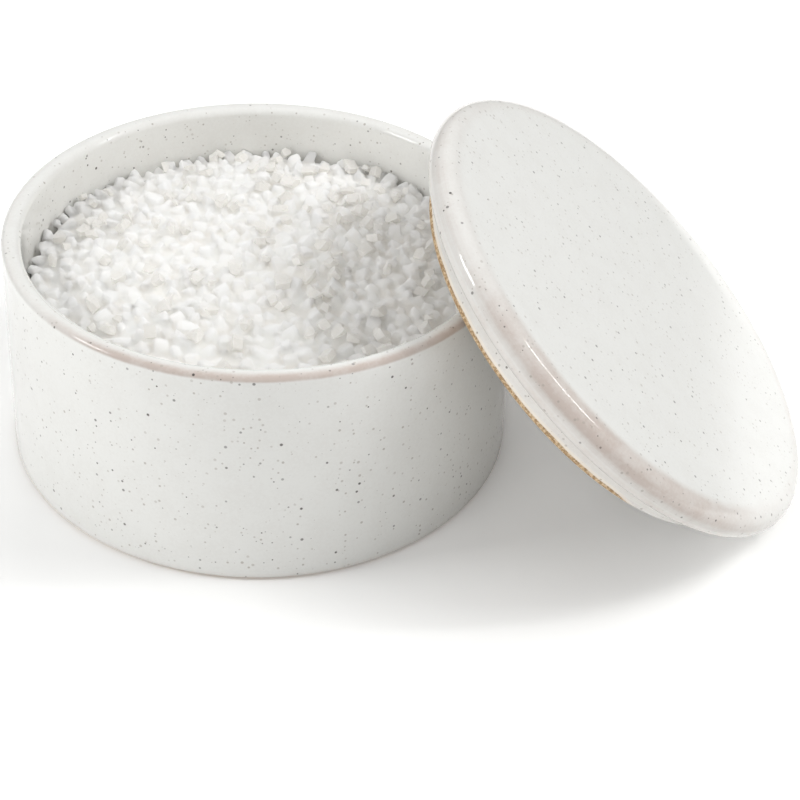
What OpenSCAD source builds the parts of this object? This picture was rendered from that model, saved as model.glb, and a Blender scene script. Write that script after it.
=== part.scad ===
// Lidded stoneware salt cellar, open, with its lid leaning on the rim and a heap of coarse salt inside.
// Millimetres. The origin is the centre of the bowl's foot, +Z is up, and the table is the plane z = 0.

/* [Bowl] */
// Height of the bowl from the table to the top of its lip
bowl_h = 51.6; // [46:0.2:60]
// Outer diameter at the lip
bowl_rim_d = 110; // [100:0.5:125]
// How much further out the wall stands at the foot than at the lip
bowl_flare = 1.4; // [0:0.1:3]
// Thickness of the wall at the lip
bowl_wall = 4.1; // [3.2:0.1:6]
// Thickness of the floor
bowl_floor = 5.5; // [4:0.1:9]
// Radius that rounds both edges of the lip
bowl_lip_r = 1.6; // [0.6:0.1:1.6]
// Radius of the bend between the inner wall and the floor
bowl_inner_bend_r = 9; // [4:0.5:14]
// Height of the bare foot, which the glazed wall hangs over
foot_band_h = 0.6; // [0.3:0.1:2]
// How far the bare foot is set in from the glazed wall
foot_set_in = 1.3; // [0.8:0.1:2]
// Rounding of the wall's lower edge, over the foot
foot_edge_r = 0.4; // [0.2:0.1:0.8]

/* [Lid] */
// Outer diameter of the lid's flange
lid_d = 112.8; // [104:0.2:128]
// Thickness of the flange that lies on the bowl's lip
lid_flange_t = 6.6; // [6.2:0.1:9]
// Radius of the rounded shoulder at the top of the flange
lid_shoulder_r = 3.6; // [1:0.1:3.6]
// Radius that rounds the lower edge of the flange
lid_edge_r = 2.6; // [0.6:0.1:2.6]
// Thickness of the lid in the middle, from its top to the floor of its recess
lid_middle_t = 9.8; // [8:0.1:11]
// How far the locating rim stands down below the flange
lid_rim_h = 5.9; // [5.2:0.1:8]
// Width of the locating rim
lid_rim_w = 4.8; // [3.5:0.1:8]
// How much narrower the locating rim is at its bottom
lid_rim_taper = 0.4; // [0:0.1:1]
// Gap all round between the locating rim and the bowl's mouth when the lid is on
lid_fit_gap = 0.9; // [0.4:0.1:2]
// Radius that rounds the bottom of the locating rim
lid_rim_r = 0.8; // [0.4:0.1:1]
// Radius of the inside corners where the rim meets the flange and the recess
lid_corner_r = 1.2; // [0.5:0.1:1.8]

/* [Leaning lid] */
// Angle of the leaning lid from level
lid_lean = 40.1; // [32:0.1:46]
// Side to which the lid leans, turned from +X
lid_side = -7.3; // [-30:0.1:30]
// Gap between the leaning lid and the lip that carries it
lid_rest_gap = 0.15; // [0.1:0.05:0.5]

/* [Salt] */
// Depth of the packed salt below the lip, in the middle of the heap
salt_crown_depth = 10.2; // [9:0.1:14]
// How much higher the heap of salt stands in the middle than at the wall
salt_rise = 3.8; // [2:0.1:8]
// Gap between the packed salt and the bowl
salt_gap = 0.1; // [0.05:0.05:0.3]
// Length of the largest loose crystal
grain_l = 3.6; // [2:0.1:5]
// Width of the largest loose crystal
grain_w = 3.1; // [1.8:0.1:4.5]
// Thickness of the largest loose crystal
grain_t = 2.6; // [1.5:0.1:4]
// Gap between a loose crystal and the salt or crystals beside it
grain_gap = 0.12; // [0.1:0.01:0.3]
// Furthest that a loose crystal tips from level, in degrees
grain_tip = 32; // [0:1:60]
// Seed of the crystals' sizes and turns
grain_seed = 7; // [1:1:99]

/* [Hidden] */

// Straight steps in a quarter turn of a rounded outline, and in the long curve of the heap
bend_steps = 9;
heap_steps = 14;

rim_r = bowl_rim_d / 2;
foot_r = rim_r + bowl_flare;
mouth_r = rim_r - bowl_wall;

// The lid's own frame has its origin in the middle of the flange's underside, with +Z up when it is on
lid_r = lid_d / 2;
rim_outer_r = mouth_r - lid_fit_gap;
rim_inner_r = rim_outer_r - lid_rim_w;
rim_bottom_r = rim_outer_r - lid_rim_taper;
recess_z = lid_flange_t - lid_middle_t;

// The packed salt's top is a shallow dome, part of one large sphere
salt_r = mouth_r - salt_gap;
salt_sphere_r = (salt_r * salt_r + salt_rise * salt_rise) / (2 * salt_rise);
salt_crown_z = bowl_h - salt_crown_depth;
salt_edge_angle = asin(salt_r / salt_sphere_r);

// Points on an arc about centre c, from angle a to angle b
function arc(c, r, a, b, steps = bend_steps) =
    [for (i = [0:steps]) let (t = a + (b - a) * i / steps) c + r * [cos(t), sin(t)]];

// Distance from a point of the lid's section to a box of that section, from corner p to corner q
function box_distance(v, p, q) =
    norm([max(p[0] - v[0], 0, v[0] - q[0]), max(p[1] - v[1], 0, v[1] - q[1])]);

// The leaning lid stands on whichever of its lower corners hangs lowest
lid_z = max((lid_rim_h - lid_rim_r) * cos(lid_lean) + (rim_bottom_r - lid_rim_r) * sin(lid_lean) + lid_rim_r,
            (lid_r - lid_edge_r) * sin(lid_lean) - lid_edge_r * cos(lid_lean) + lid_edge_r);

// A point of the lip's round edge in the lid's section, when the lid's middle is out at distance s
lip_edge_r = rim_r - bowl_lip_r;
function lip_in_lid(s, turn) =
    let (out = lip_edge_r * cos(turn) - s,
         up = bowl_h - bowl_lip_r - lid_z,
         down_slope = out * cos(lid_lean) - up * sin(lid_lean),
         off_face = out * sin(lid_lean) + up * cos(lid_lean))
    [norm([down_slope, lip_edge_r * sin(turn)]), off_face];

// Clear distance between the lip and the lid, over the side of the lip that the lid crosses
lip_turns = [for (turn = [0:3:75]) turn];
function lip_clearance(s) =
    min([for (turn = lip_turns)
            let (v = lip_in_lid(s, turn))
            min(box_distance(v, [0, 0], [lid_r, lid_flange_t]),
                box_distance(v, [0, recess_z], [rim_outer_r, 0]),
                box_distance(v, [rim_inner_r, -lid_rim_h], [rim_outer_r, 0]))]) - bowl_lip_r;

// The lid slides in along the table until it touches the lip: halve the doubt between near and far
function lid_slid_in(near, far, tries) =
    tries == 0 ? far :
    let (middle = (near + far) / 2)
    lip_clearance(middle) < lid_rest_gap ? lid_slid_in(middle, far, tries - 1)
                                         : lid_slid_in(near, middle, tries - 1);
lid_out = lid_slid_in(rim_r, rim_r + lid_d, 30);

// Section of the bowl, from the middle of its foot round the lip to the middle of its floor
bowl_outline = concat(
    [[0, 0], [foot_r - foot_set_in, 0]],
    [[foot_r - foot_set_in, foot_band_h]],
    arc([foot_r - foot_edge_r, foot_band_h + foot_edge_r], foot_edge_r, -90, 0),
    arc([rim_r - bowl_lip_r, bowl_h - bowl_lip_r], bowl_lip_r, 0, 90),
    arc([mouth_r + bowl_lip_r, bowl_h - bowl_lip_r], bowl_lip_r, 90, 180),
    arc([mouth_r - bowl_inner_bend_r, bowl_floor + bowl_inner_bend_r], bowl_inner_bend_r, 0, -90),
    [[0, bowl_floor]]);

// Section of the lid, from its recess round the locating rim and the flange to the middle of its top
lid_outline = concat(
    [[0, recess_z]],
    arc([rim_inner_r - lid_corner_r, recess_z - lid_corner_r], lid_corner_r, 90, 0),
    arc([rim_inner_r + lid_rim_r, lid_rim_r - lid_rim_h], lid_rim_r, 180, 270),
    arc([rim_bottom_r - lid_rim_r, lid_rim_r - lid_rim_h], lid_rim_r, 270, 360),
    arc([rim_outer_r + lid_corner_r, -lid_corner_r], lid_corner_r, 180, 90),
    arc([lid_r - lid_edge_r, lid_edge_r], lid_edge_r, 270, 360),
    arc([lid_r - lid_shoulder_r, lid_flange_t - lid_shoulder_r], lid_shoulder_r, 0, 90),
    [[0, lid_flange_t]]);

// Section of the packed salt: flat on the floor, round at the bend and domed on top
salt_bend_r = bowl_inner_bend_r - salt_gap;
salt_outline = concat(
    [[0, bowl_floor + salt_gap]],
    arc([salt_r - salt_bend_r, bowl_floor + bowl_inner_bend_r], salt_bend_r, -90, 0),
    arc([0, salt_crown_z - salt_sphere_r], salt_sphere_r, 90 - salt_edge_angle, 90, heap_steps));

// The loose crystals lie on the dome in a sunflower spiral. Its closest neighbours are spiral_share
// of its step apart when it starts at spiral_start, so a crystal of any turn clears the next
golden_turn = 180 * (3 - sqrt(5));
spiral_share = 1.65;
spiral_start = 3.3;
grain_reach = norm([grain_l, grain_w, grain_t]) / 2;
spiral_step = (2 * grain_reach + grain_gap) / spiral_share;
grain_out_r = mouth_r - (grain_reach + grain_gap) * (1 + sin(salt_edge_angle));
grain_count = floor(pow(grain_out_r / spiral_step, 2) - spiral_start);
least_grain_share = 0.78;
grain_sizes = rands(least_grain_share, 1, grain_count, grain_seed);
grain_tips = rands(-grain_tip, grain_tip, 2 * grain_count, grain_seed + 1);
grain_turns = rands(0, 360, grain_count, grain_seed + 2);
grain_kinds = rands(0, 6, grain_count, grain_seed + 3);

// Each kind of crystal has its length, width and thickness as shares of the largest crystal's
cube_shares = [0.86, 0.94, 1];
slab_shares = [0.96, 1, 0.72];
bar_shares = [1, 0.72, 0.78];
chip_shares = [0.95, 1, 0.95];
wedge_shares = [0.98, 0.95, 0.9];
nugget_shares = [1, 1, 1];

// How big the turned block is that chips a crystal, as a share of the crystal's diagonal
chip_cut_share = 0.62;
nugget_cut_share = 0.55;

// Where a wedge's short top begins and ends, as shares of its length from the middle
wedge_top_shares = [-0.2, 0.3];

// Size of crystal i of a kind, and how high its middle stands over the salt that it lies on
function grain_size(i, shares) =
    grain_sizes[i] * [grain_l * shares[0], grain_w * shares[1], grain_t * shares[2]];
function grain_height(i, size) =
    let (roll = grain_tips[2 * i], pitch = grain_tips[2 * i + 1])
    (size[0] * abs(sin(pitch)) + size[1] * abs(cos(pitch) * sin(roll)) +
     size[2] * abs(cos(pitch) * cos(roll))) / 2 + grain_gap;

// Lays the child on the dome at the place, turn and tip of crystal i
module lay_grain(i, size) {
    slope = asin(spiral_step * sqrt(i + spiral_start) / salt_sphere_r);
    translate([0, 0, salt_crown_z - salt_sphere_r])
        rotate([0, 0, i * golden_turn])
            rotate([0, slope, 0])
                translate([0, 0, salt_sphere_r + grain_height(i, size)])
                    rotate([0, 0, grain_turns[i]])
                        rotate([grain_tips[2 * i], grain_tips[2 * i + 1], 0])
                            children();
}

// The crystals whose drawn kind is k
function grains_of(k) = [for (i = [0:grain_count - 1]) if (floor(grain_kinds[i]) == k) i];

// A block with its low and high corners cut off by a second block turned across it
module chipped_block(size, cut_share) {
    intersection() {
        cube(size, center = true);
        rotate([45, atan(1 / sqrt(2)), 0])
            cube(cut_share * norm(size), center = true);
    }
}

module bowl() {
    color([0.91, 0.91, 0.89])
        rotate_extrude($fn = 180)
            polygon(bowl_outline);
}

module lid() {
    color([0.92, 0.93, 0.91])
        rotate([0, 0, lid_side])
            translate([lid_out, 0, lid_z])
                rotate([0, lid_lean, 0])
                    rotate_extrude($fn = 180)
                        polygon(lid_outline);
}

module salt_bed() {
    color([0.9, 0.88, 0.85])
        rotate_extrude($fn = 120)
            polygon(salt_outline);
}

module grain_cubes() {
    color([0.97, 0.97, 0.96])
        for (i = grains_of(0)) {
            size = grain_size(i, cube_shares);
            lay_grain(i, size) cube(size, center = true);
        }
}

module grain_slabs() {
    color([0.95, 0.95, 0.95])
        for (i = grains_of(1)) {
            size = grain_size(i, slab_shares);
            lay_grain(i, size) cube(size, center = true);
        }
}

module grain_bars() {
    color([0.96, 0.95, 0.93])
        for (i = grains_of(2)) {
            size = grain_size(i, bar_shares);
            lay_grain(i, size) cube(size, center = true);
        }
}

module grain_chips() {
    color([0.98, 0.98, 0.98])
        for (i = grains_of(3)) {
            size = grain_size(i, chip_shares);
            lay_grain(i, size) chipped_block(size, chip_cut_share);
        }
}

// A block whose two ends slope, so its top is shorter than its bottom
module grain_wedges() {
    color([0.94, 0.93, 0.9])
        for (i = grains_of(4)) {
            size = grain_size(i, wedge_shares);
            top = size[0] * wedge_top_shares;
            lay_grain(i, size)
                rotate([90, 0, 0])
                    linear_extrude(height = size[1], center = true)
                        polygon([[-size[0] / 2, -size[2] / 2], [size[0] / 2, -size[2] / 2],
                                 [top[1], size[2] / 2], [top[0], size[2] / 2]]);
        }
}

module grain_nuggets() {
    color([0.97, 0.96, 0.94])
        for (i = grains_of(5)) {
            size = grain_size(i, nugget_shares);
            lay_grain(i, size)
                intersection() {
                    chipped_block(size, nugget_cut_share);
                    rotate([0, 0, 45]) cube([size[0], size[0], size[2]], center = true);
                }
        }
}

bowl();
lid();
salt_bed();
grain_cubes();
grain_slabs();
grain_bars();
grain_chips();
grain_wedges();
grain_nuggets();
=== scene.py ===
import math
import random

import bmesh
import bpy
from mathutils import Euler, Matrix, Vector


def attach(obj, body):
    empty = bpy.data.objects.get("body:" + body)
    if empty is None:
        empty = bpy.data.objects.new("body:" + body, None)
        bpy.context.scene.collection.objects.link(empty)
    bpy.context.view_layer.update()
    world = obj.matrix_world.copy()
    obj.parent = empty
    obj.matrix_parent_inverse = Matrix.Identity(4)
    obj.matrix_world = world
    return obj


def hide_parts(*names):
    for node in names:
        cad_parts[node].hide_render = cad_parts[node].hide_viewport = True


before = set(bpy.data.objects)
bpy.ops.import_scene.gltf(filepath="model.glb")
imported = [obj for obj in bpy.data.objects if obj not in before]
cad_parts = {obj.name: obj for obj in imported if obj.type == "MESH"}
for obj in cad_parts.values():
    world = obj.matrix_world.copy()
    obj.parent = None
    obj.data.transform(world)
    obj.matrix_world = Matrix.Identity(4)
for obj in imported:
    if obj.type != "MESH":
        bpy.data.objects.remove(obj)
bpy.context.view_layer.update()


# Bowl: one piece of buff stoneware, thrown with a straight wall and a flat lip. It is dipped in
# a white glaze that shows the clay's dark specks and breaks warm on the edges of the lip. The
# foot is wiped bare, so the pot doesn't stick to the kiln shelf.
MM = 0.001
AROUND = 288
BOWL_HEIGHT = 51.6 * MM
BOWL_LIP_RADIUS = 55.0 * MM
BOWL_FOOT_RADIUS = 56.4 * MM
BOWL_WALL = 4.1 * MM
BOWL_FLOOR = 5.5 * MM
BOWL_LIP_INNER_EDGE = 1.6 * MM
BOWL_LIP_OUTER_EDGE = 1.2 * MM
BOWL_INNER_BEND = 9.0 * MM
BOWL_FOOT_BARE = 0.6 * MM
BOWL_FOOT_SET_IN = 1.3 * MM
BOWL_FOOT_ROUNDING = 0.4 * MM
MOUTH_RADIUS = BOWL_LIP_RADIUS - BOWL_WALL
GLAZE_WHITE = (0.80, 0.80, 0.775, 1)
GLAZE_CLOUD = (0.778, 0.775, 0.748, 1)
# Warm colour where the glaze runs thin; on the lid's shoulder and side it also paints shade.
GLAZE_BREAK_AND_SHADE = (0.57, 0.495, 0.45, 1)
# Cream of the glaze's thick end on the lid's rim, painted lighter than the glaze as the highlight its
# rounded end catches.
GLAZE_END_AND_HIGHLIGHT = (0.90, 0.80, 0.66, 1)
GLAZE_WASH = (0.41, 0.38, 0.34, 1)
SPECK_DARK = (0.06, 0.05, 0.045, 1)
SPECK_FAINT = (0.38, 0.34, 0.30, 1)
CLAY_TAN = (0.34, 0.21, 0.10, 1)
CLAY_PALE = (0.70, 0.54, 0.35, 1)


def start_outline(r, z):
    bm = bmesh.new()
    return bm, bm.verts.new((r, 0, z))


def run_to(bm, last, r, z, parts=1):
    step = (Vector((r, 0, z)) - last.co) / parts
    drawn = bmesh.ops.spin(bm, geom=[last], cent=(0, 0, 0), axis=(0, -1, 0), dvec=step, angle=0,
                           steps=parts, use_merge=False, use_normal_flip=False, use_duplicate=False)
    return drawn["geom_last"][0]


def turn_about(bm, last, r, z, degrees, steps):
    turned = bmesh.ops.spin(bm, geom=[last], cent=(r, 0, z), axis=(0, -1, 0), dvec=(0, 0, 0),
                            angle=math.radians(degrees), steps=steps, use_merge=False,
                            use_normal_flip=False, use_duplicate=False)
    return turned["geom_last"][0]


def throw_on_wheel(bm, around):
    bmesh.ops.spin(bm, geom=bm.verts[:] + bm.edges[:], cent=(0, 0, 0), axis=(0, 0, 1),
                   dvec=(0, 0, 0), angle=math.radians(360), steps=around, use_merge=True,
                   use_normal_flip=False, use_duplicate=False)
    bmesh.ops.remove_doubles(bm, verts=bm.verts[:], dist=0.001 * MM)
    bmesh.ops.recalc_face_normals(bm, faces=bm.faces[:])


def make_piece(name, bm, material, smooth=True):
    mesh = bpy.data.meshes.new(name)
    bm.to_mesh(mesh)
    bm.free()
    piece = bpy.data.objects.new(name, mesh)
    bpy.context.scene.collection.objects.link(piece)
    mesh.materials.append(material)
    mesh.polygons.foreach_set("use_smooth", [smooth] * len(mesh.polygons))
    return piece


def put(tree, kind, settings=None, **sockets):
    node = tree.nodes.new(kind)
    for name, value in (settings or {}).items():
        setattr(node, name, value)
    for name, value in sockets.items():
        socket = node.inputs[name.replace("_", " ")]
        if isinstance(value, bpy.types.NodeSocket):
            tree.links.new(value, socket)
        else:
            socket.default_value = value
    return node


def work_out(tree, operation, *values, clamp=False):
    node = tree.nodes.new("ShaderNodeMath")
    node.operation = operation
    node.use_clamp = clamp
    for socket, value in zip(node.inputs, values):
        if isinstance(value, bpy.types.NodeSocket):
            tree.links.new(value, socket)
        else:
            socket.default_value = value
    return node.outputs[0]


def ramp(tree, value, low, high, to_low=0.0, to_high=1.0):
    node = put(tree, "ShaderNodeMapRange", {"interpolation_type": "SMOOTHSTEP"}, Value=value)
    for name, amount in (("From Min", low), ("From Max", high), ("To Min", to_low), ("To Max", to_high)):
        if isinstance(amount, bpy.types.NodeSocket):
            tree.links.new(amount, node.inputs[name])
        else:
            node.inputs[name].default_value = amount
    return node.outputs["Result"]


def blend_colours(tree, share, first, second):
    node = tree.nodes.new("ShaderNodeMix")
    node.data_type = "RGBA"
    for socket, value in ((node.inputs[0], share), (node.inputs[6], first), (node.inputs[7], second)):
        if isinstance(value, bpy.types.NodeSocket):
            tree.links.new(value, socket)
        else:
            socket.default_value = value
    return node.outputs[2]


def new_group(name, inputs, outputs):
    group = bpy.data.node_groups.new(name, "ShaderNodeTree")
    for label, kind, value in inputs:
        socket = group.interface.new_socket(name=label, in_out="INPUT", socket_type=kind)
        if value is not None:
            socket.default_value = value
    for label, kind in outputs:
        group.interface.new_socket(name=label, in_out="OUTPUT", socket_type=kind)
    return group, group.nodes.new("NodeGroupInput").outputs, group.nodes.new("NodeGroupOutput").inputs


def use_group(tree, group, **sockets):
    return put(tree, "ShaderNodeGroup", {"node_tree": group}, **sockets).outputs


# Where a point of a turned piece lies: its height and its distance from the wheel's axis, in mm.
turned_place, given, gives = new_group(
    "turned_place",
    [("Point", "NodeSocketVector", None)],
    [("Radius", "NodeSocketFloat"), ("Height", "NodeSocketFloat")])
parts = put(turned_place, "ShaderNodeSeparateXYZ", Vector=given["Point"]).outputs
across = work_out(turned_place, "POWER", parts["X"], 2.0)
along = work_out(turned_place, "POWER", parts["Y"], 2.0)
radius = work_out(turned_place, "SQRT", work_out(turned_place, "ADD", across, along))
turned_place.links.new(work_out(turned_place, "MULTIPLY", radius, 1000.0), gives["Radius"])
turned_place.links.new(work_out(turned_place, "MULTIPLY", parts["Z"], 1000.0), gives["Height"])

# Iron specks that burn through the glaze: round dots of mixed size, in some of the cells.
iron_specks, given, gives = new_group(
    "iron_specks",
    [("Point", "NodeSocketVector", None), ("Cell mm", "NodeSocketFloat", 2.0),
     ("Share", "NodeSocketFloat", 0.4), ("Smallest", "NodeSocketFloat", 0.03),
     ("Largest", "NodeSocketFloat", 0.17)],
    [("Dots", "NodeSocketFloat")])
cells = put(iron_specks, "ShaderNodeTexVoronoi", {"feature": "F1"}, Vector=given["Point"],
            Scale=work_out(iron_specks, "DIVIDE", 1000.0, given["Cell mm"]), Randomness=1.0).outputs
drawn = put(iron_specks, "ShaderNodeSeparateColor", Color=cells["Color"]).outputs
present = work_out(iron_specks, "LESS_THAN", drawn["Red"], given["Share"])
spread = work_out(iron_specks, "SUBTRACT", given["Largest"], given["Smallest"])
size = work_out(iron_specks, "MULTIPLY_ADD", work_out(iron_specks, "POWER", drawn["Green"], 2.0),
                spread, given["Smallest"])
dot = ramp(iron_specks, cells["Distance"], work_out(iron_specks, "MULTIPLY", size, 0.6), size, 1.0, 0.0)
strength = ramp(iron_specks, drawn["Blue"], 0.0, 1.0, 0.5, 1.0)
iron_specks.links.new(
    work_out(iron_specks, "MULTIPLY", work_out(iron_specks, "MULTIPLY", dot, present), strength),
    gives["Dots"])

# The glaze itself: white with soft clouds, specked, and warm by the given share, which stands for glaze that
# ran thin and, on the lid, also for painted shade.
specked_glaze, given, gives = new_group(
    "specked_glaze",
    [("Point", "NodeSocketVector", None), ("Break", "NodeSocketFloat", 0.0)],
    [("Color", "NodeSocketColor"), ("Roughness", "NodeSocketFloat"), ("Height", "NodeSocketFloat")])
clouds = put(specked_glaze, "ShaderNodeTexNoise", Vector=given["Point"], Scale=160.0, Detail=3.0,
             Roughness=0.6).outputs["Fac"]
grain = put(specked_glaze, "ShaderNodeTexNoise", Vector=given["Point"], Scale=1500.0, Detail=2.0,
            Roughness=0.6).outputs["Fac"]
cloudy = ramp(specked_glaze, work_out(specked_glaze, "MULTIPLY_ADD", grain, 0.5,
                                      work_out(specked_glaze, "MULTIPLY", clouds, 0.5)), 0.42, 0.62)
white = blend_colours(specked_glaze, cloudy, GLAZE_WHITE, GLAZE_CLOUD)
uneven = work_out(specked_glaze, "MULTIPLY", ramp(specked_glaze, grain, 0.3, 0.7, 0.92, 1.08),
                  ramp(specked_glaze, clouds, 0.35, 0.65, 0.85, 1.15))
mottled = work_out(specked_glaze, "MULTIPLY", given["Break"], uneven, clamp=True)
warm = blend_colours(specked_glaze, mottled, white, GLAZE_BREAK_AND_SHADE)
faint = use_group(specked_glaze, iron_specks, Point=given["Point"], Cell_mm=1.25, Share=0.62,
                  Smallest=0.10, Largest=0.34)["Dots"]
crowded = work_out(specked_glaze, "MULTIPLY_ADD", given["Break"], 0.5, 0.55)
dark = use_group(specked_glaze, iron_specks, Point=given["Point"], Cell_mm=1.9, Share=crowded,
                 Smallest=0.08, Largest=0.22)["Dots"]
spotted = blend_colours(specked_glaze, work_out(specked_glaze, "MULTIPLY", faint, 0.65),
                        warm, SPECK_FAINT)
spotted = blend_colours(specked_glaze, work_out(specked_glaze, "MULTIPLY", dark, 0.95),
                        spotted, SPECK_DARK)
specked_glaze.links.new(spotted, gives["Color"])
specked_glaze.links.new(ramp(specked_glaze, dark, 0.0, 1.0, 0.08, 0.35), gives["Roughness"])
skin = put(specked_glaze, "ShaderNodeTexNoise", Vector=given["Point"], Scale=420.0, Detail=2.0,
           Roughness=0.5).outputs["Fac"]
pitted = work_out(specked_glaze, "MULTIPLY_ADD", dark, -0.6, skin)
specked_glaze.links.new(pitted, gives["Height"])

# Bare fired clay: tan and gritty.
bare_clay, given, gives = new_group(
    "bare_clay",
    [("Point", "NodeSocketVector", None)],
    [("Color", "NodeSocketColor"), ("Roughness", "NodeSocketFloat"), ("Height", "NodeSocketFloat")])
grit = put(bare_clay, "ShaderNodeTexNoise", Vector=given["Point"], Scale=1700.0, Detail=3.0,
           Roughness=0.7).outputs["Fac"]
tone = blend_colours(bare_clay, ramp(bare_clay, grit, 0.4, 0.62), CLAY_TAN, CLAY_PALE)
bare_clay.links.new(tone, gives["Color"])
bare_clay.links.new(ramp(bare_clay, grit, 0.2, 0.8, 0.75, 0.95), gives["Roughness"])
bare_clay.links.new(grit, gives["Height"])


def fired_pot(name, centre=(0, 0, 0), turn=(0, 0, 0)):
    """A new material with the point in the pot's own frame, and its radius and height in mm."""
    material = bpy.data.materials.new(name)
    material.use_nodes = True
    tree = material.node_tree
    tree.nodes.clear()
    spot = put(tree, "ShaderNodeTexCoord").outputs["Object"]
    point = put(tree, "ShaderNodeMapping", {"vector_type": "TEXTURE"}, Vector=spot, Location=centre,
                Rotation=turn).outputs["Vector"]
    place = use_group(tree, turned_place, Point=point)
    return material, tree, point, place["Radius"], place["Height"]


def facing(tree, point, degrees):
    """How far the side that looks towards this turn about the axis is faced: from -1 to 1."""
    turn = math.radians(degrees)
    flat = put(tree, "ShaderNodeVectorMath", {"operation": "MULTIPLY"}, Vector=point)
    flat.inputs[1].default_value = (1, 1, 0)
    outward = put(tree, "ShaderNodeVectorMath", {"operation": "NORMALIZE"},
                  Vector=flat.outputs[0]).outputs[0]
    likeness = put(tree, "ShaderNodeVectorMath", {"operation": "DOT_PRODUCT"}, Vector=outward)
    likeness.inputs[1].default_value = (math.cos(turn), math.sin(turn), 0)
    return likeness.outputs["Value"]


def finish_pot(tree, point, warm, bare, streaks=0.0, thick_end_and_highlight=0.0, thin_wash=0.0):
    """Glaze, or a thin wash of it, where bare is 0 and clay where it is 1, on one glossy shader."""
    glaze = use_group(tree, specked_glaze, Point=point, Break=warm)
    clay = use_group(tree, bare_clay, Point=point)
    rough = tree.nodes.new("ShaderNodeMix")
    tree.links.new(bare, rough.inputs[0])
    tree.links.new(glaze["Roughness"], rough.inputs[2])
    tree.links.new(clay["Roughness"], rough.inputs[3])
    raised = work_out(tree, "ADD", glaze["Height"], streaks)
    skin = put(tree, "ShaderNodeBump", Strength=0.07, Distance=0.12 * MM,
               Height=raised).outputs["Normal"]
    gritty = put(tree, "ShaderNodeBump", Strength=0.5, Distance=0.15 * MM,
                 Height=work_out(tree, "MULTIPLY", clay["Height"], bare), Normal=skin).outputs["Normal"]
    # Painted highlight: the thick glaze end is painted a lighter cream.
    glazed = blend_colours(tree, thick_end_and_highlight, glaze["Color"], GLAZE_END_AND_HIGHLIGHT)
    glazed = blend_colours(tree, thin_wash, glazed, GLAZE_WASH)
    shine = put(tree, "ShaderNodeBsdfPrincipled", Normal=gritty, IOR=1.52,
                Base_Color=blend_colours(tree, bare, glazed, clay["Color"]),
                Roughness=rough.outputs[0])
    put(tree, "ShaderNodeOutputMaterial", Surface=shine.outputs["BSDF"])


glazed_bowl, tree, point, radius, height = fired_pot("glazed_bowl")
lip_top = ramp(tree, height, BOWL_HEIGHT / MM - 1.1, BOWL_HEIGHT / MM - 0.5)
outer_edge = work_out(tree, "MULTIPLY", ramp(tree, radius, 52.4, 54.5), lip_top)
# The lip's warm break is stronger towards the front and fainter at the left and back.
toward_front = ramp(tree, facing(tree, point, -80), 0.4, 0.8, 0.1, 1.0)
edges = work_out(tree, "MULTIPLY", outer_edge, toward_front)
above_foot = ramp(tree, height, 1.0, 1.9, 0.22, 0.0)
low_outside = work_out(tree, "MULTIPLY", above_foot, ramp(tree, radius, 50.0, 55.0))
bare_foot = ramp(tree, height, 0.62, 0.72, 1.0, 0.0)
finish_pot(tree, point, work_out(tree, "MAXIMUM", edges, low_outside), bare_foot)

bm, last = start_outline(0, 0)
last = run_to(bm, last, BOWL_FOOT_RADIUS - BOWL_FOOT_SET_IN, 0, 6)
last = run_to(bm, last, BOWL_FOOT_RADIUS - BOWL_FOOT_SET_IN, BOWL_FOOT_BARE)
last = run_to(bm, last, BOWL_FOOT_RADIUS - BOWL_FOOT_ROUNDING, BOWL_FOOT_BARE)
last = turn_about(bm, last, BOWL_FOOT_RADIUS - BOWL_FOOT_ROUNDING,
                  BOWL_FOOT_BARE + BOWL_FOOT_ROUNDING, 90, 5)
last = run_to(bm, last, BOWL_LIP_RADIUS, BOWL_HEIGHT - BOWL_LIP_OUTER_EDGE, 24)
last = turn_about(bm, last, BOWL_LIP_RADIUS - BOWL_LIP_OUTER_EDGE,
                  BOWL_HEIGHT - BOWL_LIP_OUTER_EDGE, 90, 8)
last = run_to(bm, last, MOUTH_RADIUS + BOWL_LIP_INNER_EDGE, BOWL_HEIGHT, 2)
last = turn_about(bm, last, MOUTH_RADIUS + BOWL_LIP_INNER_EDGE, BOWL_HEIGHT - BOWL_LIP_INNER_EDGE, 90, 8)
last = run_to(bm, last, MOUTH_RADIUS, BOWL_FLOOR + BOWL_INNER_BEND, 14)
last = turn_about(bm, last, MOUTH_RADIUS - BOWL_INNER_BEND, BOWL_FLOOR + BOWL_INNER_BEND, -90, 8)
run_to(bm, last, 0, BOWL_FLOOR, 6)
throw_on_wheel(bm, AROUND)
bowl = make_piece("glazed_stoneware_bowl", bm, glazed_bowl)
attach(bowl, "cellar")
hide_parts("bowl")


# Packed salt: coarse crystals, moist and caked together into one mass that fills the bowl to a low
# dome. Light wanders through it from crystal to crystal, so its hollows are hardly darker.
SALT_WHITE = (0.945, 0.93, 0.895, 1)
SALT_SHADE = (0.915, 0.892, 0.85, 1)
SALT_GAP = 0.1 * MM
SALT_RADIUS = MOUTH_RADIUS - SALT_GAP
HEAP_CROWN = 39.6 * MM
HEAP_RISE = 3.8 * MM
HEAP_SPHERE = (SALT_RADIUS ** 2 + HEAP_RISE ** 2) / (2 * HEAP_RISE)
CAKED = 3.5 * MM
CAKED_GAP = 2.2 * MM
CAKED_TOP = 6.0 * MM
CAKED_SUNK = 0.2
CAKED_MOST = 5000
CRUMB_FACES = 1000
CAKE_BASE = HEAP_CROWN - HEAP_RISE - 1.5 * MM
CAKE_DETAIL = 0.33 * MM
CRYSTAL_MEAN = 2.3 * MM
CRYSTAL_SPREAD = 0.34
CRYSTAL_LEAST_SHARE = 0.45
CRYSTAL_MOST_SHARE = 1.5
CRYSTAL_LENGTH_SHARE = 1.75
CRYSTAL_TUMBLE = 0.5
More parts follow.
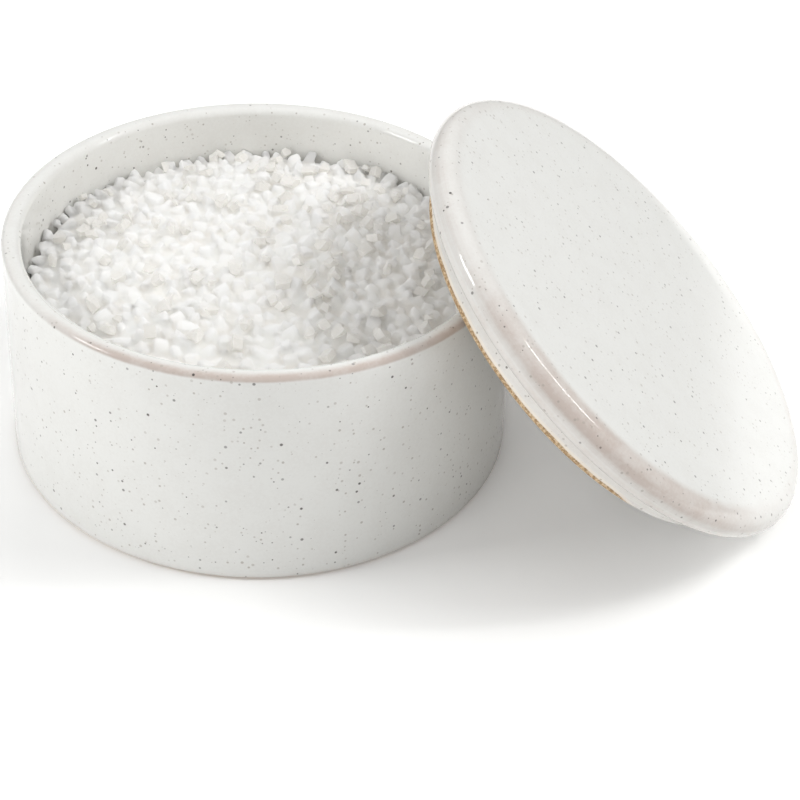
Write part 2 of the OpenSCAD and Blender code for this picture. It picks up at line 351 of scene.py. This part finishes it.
CRYSTAL_KINDS = 28
CELL = 0.3 * MM
CAP_STEPS = 8
SPOTS_TRIED = 7
MOST_MISSES = 300
CAKE_KEPT_SHARE = 0.30


def caked_top(r):
    """The height of the caked salt at this distance from the middle: a low dome, sunk at the wall."""
    dome = HEAP_CROWN - HEAP_SPHERE + math.sqrt(HEAP_SPHERE ** 2 - min(r, SALT_RADIUS) ** 2)
    return dome + CAKED * min(1.0, max(0.0, (SALT_RADIUS - r) / CAKED_GAP))


def break_crystal(dice):
    """One block of unit size, squeezed, with its corners and edges broken off by flat cuts."""
    bm = bmesh.new()
    bmesh.ops.create_cube(bm, size=1.0)
    longest = 1.0 + 0.45 * dice.random()
    sides = (longest, 1.0 - 0.15 * dice.random(), 0.5 + 0.35 * dice.random())
    bmesh.ops.scale(bm, vec=sides, verts=bm.verts[:])
    for cut in range(dice.choice((4, 5, 6, 7))):
        way = Vector((dice.uniform(-1, 1), dice.uniform(-1, 1), dice.uniform(-1, 1))).normalized()
        reach = max(v.co.dot(way) for v in bm.verts)
        bmesh.ops.bisect_plane(bm, geom=bm.verts[:] + bm.edges[:] + bm.faces[:],
                               plane_co=way * reach * dice.uniform(0.5, 0.85), plane_no=way,
                               clear_outer=True, dist=0.0001)
        open_edges = [e for e in bm.edges if e.is_boundary]
        bmesh.ops.contextual_create(bm, geom=open_edges)
    bmesh.ops.recalc_face_normals(bm, faces=bm.faces[:])
    mesh = bpy.data.meshes.new("crystal_kind")
    bm.to_mesh(mesh)
    bm.free()
    return mesh


def heap_up(dice, ground, highest, sunk, most, outward=0.5):
    """Drops each crystal, as a ball, on the lowest of a few spots, and gives the places of rest."""
    caps = {}
    places = []
    misses = 0
    while len(places) < most and misses < MOST_MISSES:
        share = dice.lognormvariate(0, CRYSTAL_SPREAD)
        size = CRYSTAL_MEAN * min(CRYSTAL_MOST_SHARE, max(CRYSTAL_LEAST_SHARE, share))
        step = round(size / CELL * CAP_STEPS)
        if step not in caps:
            reach = int(size / CELL) + 1
            caps[step] = [(i, j, math.sqrt(size * size - CELL * CELL * (i * i + j * j)))
                          for i in range(-reach, reach + 1) for j in range(-reach, reach + 1)
                          if CELL * math.hypot(i, j) < size]
        best = None
        for spot in range(SPOTS_TRIED):
            r = (MOUTH_RADIUS - size - SALT_GAP) * dice.random() ** outward
            turn = dice.uniform(0, 2 * math.pi)
            ci, cj = round(r * math.cos(turn) / CELL), round(r * math.sin(turn) / CELL)
            z = max(ground[ci + i, cj + j] + sunk * cap for i, j, cap in caps[step])
            over = z + size + CAKED - caked_top(min(r, SALT_RADIUS - CAKED_GAP))
            if best is None or over < best[0]:
                best = (over, ci, cj, z)
        over, ci, cj, z = best
        if over > highest * dice.uniform(0.86, 1.0):
            misses += 1
            continue
        misses = 0
        for i, j, cap in caps[step]:
            ground[ci + i, cj + j] = max(ground[ci + i, cj + j], z + cap)
        places.append((Vector((ci * CELL, cj * CELL, z)), size))
    return places


def add_crystals(bm, dice, places):
    """Puts a tumbled crystal of any kind at each place."""
    for middle, size in places:
        tumble = Euler((dice.gauss(0, CRYSTAL_TUMBLE), dice.gauss(0, CRYSTAL_TUMBLE),
                        dice.uniform(0, 2 * math.pi))).to_matrix().to_4x4()
        one = kinds[dice.randrange(CRYSTAL_KINDS)].copy()
        grown = Matrix.Scale(size * CRYSTAL_LENGTH_SHARE, 4)
        one.transform(Matrix.Translation(middle) @ tumble @ grown)
        bm.from_mesh(one)
        bpy.data.meshes.remove(one)


def lit_from_above(tree, share):
    """A normal turned towards the sky, because a clear crystal passes light on to its dim sides."""
    own = put(tree, "ShaderNodeNewGeometry").outputs["Normal"]
    turned = put(tree, "ShaderNodeMix", {"data_type": "VECTOR"})
    turned.inputs[0].default_value = share
    tree.links.new(own, turned.inputs[4])
    turned.inputs[5].default_value = (0, 0, 1)
    return put(tree, "ShaderNodeVectorMath", {"operation": "NORMALIZE"}, Vector=turned.outputs[1]).outputs[0]


salt_in_bulk = bpy.data.materials.new("salt_in_bulk")
salt_in_bulk.use_nodes = True
tree = salt_in_bulk.node_tree
tree.nodes.clear()
point = put(tree, "ShaderNodeTexCoord").outputs["Object"]
facets = put(tree, "ShaderNodeTexVoronoi", {"feature": "F1"}, Vector=point, Scale=330.0).outputs
tone = put(tree, "ShaderNodeSeparateColor", Color=facets["Color"]).outputs["Red"]
frost = put(tree, "ShaderNodeTexNoise", Vector=point, Scale=1400.0, Detail=3.0,
            Roughness=0.65).outputs["Fac"]
rise = put(tree, "ShaderNodeBump", Strength=0.2, Distance=0.15 * MM, Height=frost,
           Normal=lit_from_above(tree, 0.65)).outputs["Normal"]
caked = put(tree, "ShaderNodeBsdfPrincipled", Normal=rise, IOR=1.54,
            Roughness=ramp(tree, frost, 0.3, 0.7, 0.4, 0.7),
            Subsurface_Weight=1.0, Subsurface_Radius=(1.0, 0.99, 0.97), Subsurface_Scale=7.0 * MM,
            Base_Color=blend_colours(tree, tone, SALT_SHADE, SALT_WHITE))
put(tree, "ShaderNodeOutputMaterial", Surface=caked.outputs["BSDF"])

dice = random.Random(11)
kinds = [break_crystal(dice) for kind in range(CRYSTAL_KINDS)]
half = int(MOUTH_RADIUS / CELL) + 8
ground = {}
for i in range(-half, half + 1):
    for j in range(-half, half + 1):
        ground[i, j] = caked_top(CELL * math.hypot(i, j))
places = heap_up(dice, ground, CAKED_TOP, CAKED_SUNK, CAKED_MOST)

bm, last = start_outline(0, CAKE_BASE)
last = run_to(bm, last, SALT_RADIUS, CAKE_BASE, 8)
last = run_to(bm, last, SALT_RADIUS, caked_top(SALT_RADIUS))
last = run_to(bm, last, SALT_RADIUS - CAKED_GAP, caked_top(SALT_RADIUS - CAKED_GAP), 2)
dome_turn = math.degrees(math.asin(last.co.x / HEAP_SPHERE))
turn_about(bm, last, 0, HEAP_CROWN + CAKED - HEAP_SPHERE, dome_turn, 40)
throw_on_wheel(bm, 160)
add_crystals(bm, dice, places)
loose_lumps = make_piece("caked_crystals", bm, salt_in_bulk)
caking = loose_lumps.modifiers.new("caking", "REMESH")
caking.mode = "VOXEL"
caking.voxel_size = CAKE_DETAIL
thinning = loose_lumps.modifiers.new("thinning", "DECIMATE")
thinning.ratio = CAKE_KEPT_SHARE
bpy.context.view_layer.update()
fused = loose_lumps.evaluated_get(bpy.context.evaluated_depsgraph_get())
cake = bpy.data.meshes.new_from_object(fused)
bpy.data.objects.remove(loose_lumps)

# Fusing and thinning leave a few crumbs of a handful of faces, which are swept away.
swept = bmesh.new()
swept.from_mesh(cake)
left = set(swept.faces)
crumbs = []
while left:
    lump = [left.pop()]
    for face in lump:
        for edge in face.edges:
            for neighbour in edge.link_faces:
                if neighbour in left:
                    left.remove(neighbour)
                    lump.append(neighbour)
    if len(lump) < CRUMB_FACES:
        crumbs.extend(lump)
bmesh.ops.delete(swept, geom=crumbs, context="FACES")
bmesh.ops.delete(swept, geom=[vert for vert in swept.verts if not vert.link_faces], context="VERTS")
swept.to_mesh(cake)
swept.free()

bm, last = start_outline(0, BOWL_FLOOR + SALT_GAP)
last = run_to(bm, last, MOUTH_RADIUS - BOWL_INNER_BEND, BOWL_FLOOR + SALT_GAP, 3)
last = turn_about(bm, last, MOUTH_RADIUS - BOWL_INNER_BEND, BOWL_FLOOR + BOWL_INNER_BEND, 90, 6)
last = run_to(bm, last, SALT_RADIUS, CAKE_BASE, 4)
run_to(bm, last, 0, CAKE_BASE, 8)
throw_on_wheel(bm, 96)
bm.from_mesh(cake)
bpy.data.meshes.remove(cake)
packed_salt = make_piece("packed_salt", bm, salt_in_bulk)
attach(packed_salt, "cellar")
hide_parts("salt_bed")


# Loose salt: the coarse crystals that lie on top, clear to milky white, 2 to 6 mm long. Each is
# a cleaved block with its corners broken off, dropped on the heap until it rests on the others.
LOOSE_TOP = 7.2 * MM
LOOSE_SUNK = 0.4
LOOSE_MOST = 150
LOOSE_OUTWARD = 0.4
SALT_CLEAR = (0.96, 0.952, 0.935, 1)
SALT_MILKY = (0.93, 0.92, 0.895, 1)
PASSED_ON_SHARE = 0.5
CAD_GRAINS = ["grain_cubes", "grain_slabs", "grain_bars", "grain_chips", "grain_wedges",
              "grain_nuggets"]

salt_crystal = bpy.data.materials.new("salt_in_crystals")
salt_crystal.use_nodes = True
tree = salt_crystal.node_tree
tree.nodes.clear()
point = put(tree, "ShaderNodeTexCoord").outputs["Object"]
patches = put(tree, "ShaderNodeTexVoronoi", {"feature": "F1"}, Vector=point, Scale=380.0).outputs
milk = put(tree, "ShaderNodeSeparateColor", Color=patches["Color"]).outputs["Red"]
cracks = put(tree, "ShaderNodeTexNoise", Vector=point, Scale=1400.0, Detail=3.0,
             Roughness=0.65).outputs["Fac"]
half_milk = work_out(tree, "MULTIPLY", milk, 0.5)
cloudy = ramp(tree, work_out(tree, "MULTIPLY_ADD", cracks, 0.5, half_milk), 0.2, 0.8)
uneven = put(tree, "ShaderNodeBump", Strength=0.3, Distance=0.15 * MM, Height=cracks,
             Normal=lit_from_above(tree, 0.2)).outputs["Normal"]
milky = blend_colours(tree, cloudy, SALT_MILKY, SALT_CLEAR)
crystal = put(tree, "ShaderNodeBsdfPrincipled", Normal=uneven, IOR=1.54, Base_Color=milky,
              Roughness=ramp(tree, cracks, 0.3, 0.7, 0.22, 0.5))
passed_on = put(tree, "ShaderNodeBsdfTranslucent", Color=milky, Normal=uneven)
both = tree.nodes.new("ShaderNodeMixShader")
both.inputs[0].default_value = PASSED_ON_SHARE
tree.links.new(crystal.outputs["BSDF"], both.inputs[1])
tree.links.new(passed_on.outputs["BSDF"], both.inputs[2])
put(tree, "ShaderNodeOutputMaterial", Surface=both.outputs["Shader"])

places = heap_up(dice, ground, LOOSE_TOP, LOOSE_SUNK, LOOSE_MOST, LOOSE_OUTWARD)
for first, grains in enumerate(CAD_GRAINS):
    bm = bmesh.new()
    add_crystals(bm, dice, places[first::len(CAD_GRAINS)])
    crystals = make_piece("loose_salt_" + grains.split("_")[1], bm, salt_crystal, smooth=False)
    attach(crystals, "cellar")
    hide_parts(grains)
for kind in kinds:
    bpy.data.meshes.remove(kind)


# Lid: a thrown disc with a rounded flange and a locating rim that fits the bowl's mouth, glazed like
# the bowl but with a thin grey wash below. It is fired standing on the rim, whose bottom edge is
# left bare but for a stretch in front where glaze ran over it. It leans on the bowl's lip and
# stands on the table.
LID_RADIUS = 56.4 * MM
LID_FLANGE = 6.6 * MM
LID_SHOULDER = 3.6 * MM
LID_LOWER_EDGE = 2.6 * MM
LID_MIDDLE = 9.8 * MM
LID_RIM_HEIGHT = 5.9 * MM
LID_RIM_WIDTH = 4.8 * MM
LID_RIM_TAPER = 0.4 * MM
LID_RIM_ROUNDING = 0.8 * MM
LID_INNER_BEND = 1.2 * MM
LID_FIT = 0.9 * MM
LID_RIM_OUTER = MOUTH_RADIUS - LID_FIT
LID_RIM_INNER = LID_RIM_OUTER - LID_RIM_WIDTH
LID_RIM_BOTTOM = LID_RIM_OUTER - LID_RIM_TAPER
LID_RECESS = LID_FLANGE - LID_MIDDLE
LID_LEAN = math.radians(40.1)
LID_SIDE = math.radians(-7.3)
# The lid stands on the lower edge of its rim. Its distance is where the part's source finds it, slid
# in until it is 0.15 mm from the lip.
LID_UP = ((LID_RIM_HEIGHT - LID_RIM_ROUNDING) * math.cos(LID_LEAN)
          + (LID_RIM_BOTTOM - LID_RIM_ROUNDING) * math.sin(LID_LEAN) + LID_RIM_ROUNDING)
LID_OUT = 77.552 * MM

lid_turn = Euler((0, LID_LEAN, LID_SIDE))
lid_centre = Vector((LID_OUT * math.cos(LID_SIDE), LID_OUT * math.sin(LID_SIDE), LID_UP))

glazed_lid, tree, point, radius, height = fired_pot("glazed_lid", lid_centre, lid_turn)
# The shoulder's warm band is the glaze breaking thin over the edge, and partly painted shade where the
# shoulder turns from the light below its highlight.
shoulder = work_out(tree, "MULTIPLY", ramp(tree, radius, 50.6, 53.4), ramp(tree, height, 2.9, 4.9))
# Painted shade: the break on the shoulder and the tone on the side are painted stronger towards the lid's
# front, which lies in more shade, and fainter at the lit upper left.
toward_front = ramp(tree, facing(tree, point, -93), 0.6, 1.0, 0.22, 1.0)
unrolled = put(tree, "ShaderNodeCombineXYZ", X=work_out(tree, "MULTIPLY", height, 2.2),
               Y=work_out(tree, "MULTIPLY", radius, 0.4)).outputs["Vector"]
rings = put(tree, "ShaderNodeTexNoise", Vector=unrolled, Scale=1.0, Detail=3.0,
            Roughness=0.7).outputs["Fac"]
on_side = work_out(tree, "MULTIPLY", ramp(tree, radius, 48.5, 50.5),
                   ramp(tree, height, 4.2, 6.2, 1.0, 0.0))
streaks = work_out(tree, "MULTIPLY", ramp(tree, rings, 0.35, 0.65), on_side)
shoulder_break_and_shade = work_out(tree, "MULTIPLY", work_out(tree, "MULTIPLY", shoulder, toward_front), 0.75)
warm = work_out(tree, "MULTIPLY_ADD", streaks, 0.22, shoulder_break_and_shade)
# The flange's side gets a faint warm tone everywhere, with painted shade added towards the front.
side_tone = work_out(tree, "MULTIPLY", on_side, work_out(tree, "MULTIPLY_ADD", toward_front, 0.2, 0.08))
warm = work_out(tree, "ADD", warm, side_tone, clamp=True)
low_side = facing(tree, point, -40)
wander = put(tree, "ShaderNodeTexNoise", Vector=point, Scale=90.0, Detail=2.0).outputs["Fac"]
glaze_line = work_out(tree, "MULTIPLY_ADD", wander, 0.9, height)
glaze_line = work_out(tree, "ADD", glaze_line, ramp(tree, low_side, 0.72, 0.9, 0.0, 2.0))
# Painted highlight: a cream band just above the bare edge, painted lighter than the glaze where its thick
# rounded end catches the light.
thick_end_and_highlight = work_out(tree, "MULTIPLY", ramp(tree, glaze_line, -3.9, -3.3, 0.75, 0.0), on_side)
bare_low = ramp(tree, glaze_line, -4.35, -4.15, 1.0, 0.0)
underside = work_out(tree, "MULTIPLY", ramp(tree, height, -1.0, 0.0, 1.0, 0.0),
                     ramp(tree, radius, 48.5, 48.9, 1.0, 0.0))
finish_pot(tree, point, warm, bare_low, streaks, thick_end_and_highlight, underside)

bm, last = start_outline(0, LID_RECESS)
last = run_to(bm, last, LID_RIM_INNER - LID_INNER_BEND, LID_RECESS, 6)
last = turn_about(bm, last, LID_RIM_INNER - LID_INNER_BEND, LID_RECESS - LID_INNER_BEND, -90, 5)
last = run_to(bm, last, LID_RIM_INNER, LID_RIM_ROUNDING - LID_RIM_HEIGHT, 2)
last = turn_about(bm, last, LID_RIM_INNER + LID_RIM_ROUNDING, LID_RIM_ROUNDING - LID_RIM_HEIGHT, 90, 5)
last = run_to(bm, last, LID_RIM_BOTTOM - LID_RIM_ROUNDING, -LID_RIM_HEIGHT, 2)
last = turn_about(bm, last, LID_RIM_BOTTOM - LID_RIM_ROUNDING, LID_RIM_ROUNDING - LID_RIM_HEIGHT, 90, 5)
last = run_to(bm, last, LID_RIM_OUTER, -LID_INNER_BEND, 5)
last = turn_about(bm, last, LID_RIM_OUTER + LID_INNER_BEND, -LID_INNER_BEND, -90, 5)
last = run_to(bm, last, LID_RADIUS - LID_LOWER_EDGE, 0, 2)
last = turn_about(bm, last, LID_RADIUS - LID_LOWER_EDGE, LID_LOWER_EDGE, 90, 8)
last = run_to(bm, last, LID_RADIUS, LID_FLANGE - LID_SHOULDER, 1)
last = turn_about(bm, last, LID_RADIUS - LID_SHOULDER, LID_FLANGE - LID_SHOULDER, 90, 10)
run_to(bm, last, 0, LID_FLANGE, 10)
throw_on_wheel(bm, AROUND)
leaning = Matrix.Translation(lid_centre) @ lid_turn.to_matrix().to_4x4()
bmesh.ops.transform(bm, matrix=leaning, verts=bm.verts[:])
lid = make_piece("glazed_stoneware_lid", bm, glazed_lid)
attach(lid, "lid")
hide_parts("lid")


# Table: a plain white sweep that takes the soft shadow. The camera, and the glaze that mirrors it,
# see it lifted a little towards white.
FLOOR_WHITE = (0.90, 0.90, 0.89, 1)
FLOOR_LIFT = 0.125
FLOOR_REACH = 3.0

white_sweep = bpy.data.materials.new("white_sweep")
white_sweep.use_nodes = True
tree = white_sweep.node_tree
tree.nodes.clear()
matte = put(tree, "ShaderNodeBsdfDiffuse", Color=FLOOR_WHITE)
path = put(tree, "ShaderNodeLightPath").outputs
seen_through = work_out(tree, "ADD", path["Is Glossy Ray"], path["Is Transmission Ray"])
seen = work_out(tree, "ADD", path["Is Camera Ray"], seen_through)
lift = put(tree, "ShaderNodeEmission", Color=(1, 1, 1, 1),
           Strength=work_out(tree, "MULTIPLY", seen, FLOOR_LIFT))
both = tree.nodes.new("ShaderNodeAddShader")
tree.links.new(matte.outputs[0], both.inputs[0])
tree.links.new(lift.outputs[0], both.inputs[1])
put(tree, "ShaderNodeOutputMaterial", Surface=both.outputs[0])
bm = bmesh.new()
bmesh.ops.create_grid(bm, x_segments=1, y_segments=1, size=FLOOR_REACH)
table = make_piece("table", bm, white_sweep)


# Studio: two soft boxes, high on the left and on the right, that the glaze mirrors as streaks, and
# broad bounce boards that fill the shade without a reflection of their own.
world = bpy.data.worlds.new("studio")
bpy.context.scene.world = world
world.use_nodes = True
world.node_tree.nodes.clear()
sky = put(world.node_tree, "ShaderNodeBackground", Color=(1, 1, 1, 1), Strength=0.10)
put(world.node_tree, "ShaderNodeOutputWorld", Surface=sky.outputs[0])


def soft_light(name, place, width, depth, watts, mirrored):
    lamp = bpy.data.lights.new(name, "AREA")
    lamp.shape = "RECTANGLE"
    lamp.size = width
    lamp.size_y = depth
    lamp.energy = watts
    holder = bpy.data.objects.new(name, lamp)
    bpy.context.scene.collection.objects.link(holder)
    holder.location = place
    holder.rotation_euler = (LIGHTS_AIM - Vector(place)).to_track_quat("-Z", "Y").to_euler()
    holder.visible_glossy = mirrored


LIGHTS_AIM = Vector((0.02, 0, 0.03))
soft_light("soft_box_left", (-0.659, -0.12, 0.609), 0.24, 0.12, 1.7, True)
soft_light("soft_box_right", (0.70, 0.0, 0.62), 0.05, 0.34, 1.2, True)
soft_light("board_above", (0, 0, 0.9), 0.7, 0.7, 1.3, False)
soft_light("board_right", (0.622, 0.065, 0.677), 0.45, 0.45, 4.4, False)
soft_light("board_left", (-0.9, 0, 0.35), 0.6, 0.6, 2.1, False)
soft_light("board_left_front", (-0.6, -0.7, 0.55), 0.6, 0.6, 2.1, False)
soft_light("board_front", (0, -0.9, 0.5), 0.6, 0.6, 2.0, False)
soft_light("board_back", (0, 0.9, 0.5), 0.6, 0.6, 2.8, False)


# Camera: in front of the bowl and above it, a little tilted. It was fitted with plainer outlines, so
# the bowl and the lid meet the photograph's to 1 or 2 pixels, and the lid's low corner to 4.
CAMERA_LENS = 77.63
CAMERA_SENSOR = 36
CAMERA_NEAR = 0.01
CAMERA_PLACE = Vector((14.06, -316.72, 251.93)) * MM
CAMERA_YAW = 0.05679
CAMERA_PITCH = 0.66274
CAMERA_ROLL = 0.05456

camera_data = bpy.data.cameras.new("camera")
camera_data.sensor_width = CAMERA_SENSOR
camera_data.lens = CAMERA_LENS
camera_data.clip_start = CAMERA_NEAR
camera = bpy.data.objects.new("camera", camera_data)
bpy.context.scene.collection.objects.link(camera)
onward = Vector((math.sin(CAMERA_YAW) * math.cos(CAMERA_PITCH),
                 math.cos(CAMERA_YAW) * math.cos(CAMERA_PITCH), -math.sin(CAMERA_PITCH)))
level = Vector((math.cos(CAMERA_YAW), -math.sin(CAMERA_YAW), 0))
upward = level.cross(onward)
rightward = level * math.cos(CAMERA_ROLL) + upward * math.sin(CAMERA_ROLL)
topward = upward * math.cos(CAMERA_ROLL) - level * math.sin(CAMERA_ROLL)
look = Matrix((rightward, topward, -onward)).transposed().to_4x4()
camera.matrix_world = Matrix.Translation(CAMERA_PLACE) @ look
bpy.context.scene.camera = camera
bpy.context.scene.view_settings.view_transform = "Standard"
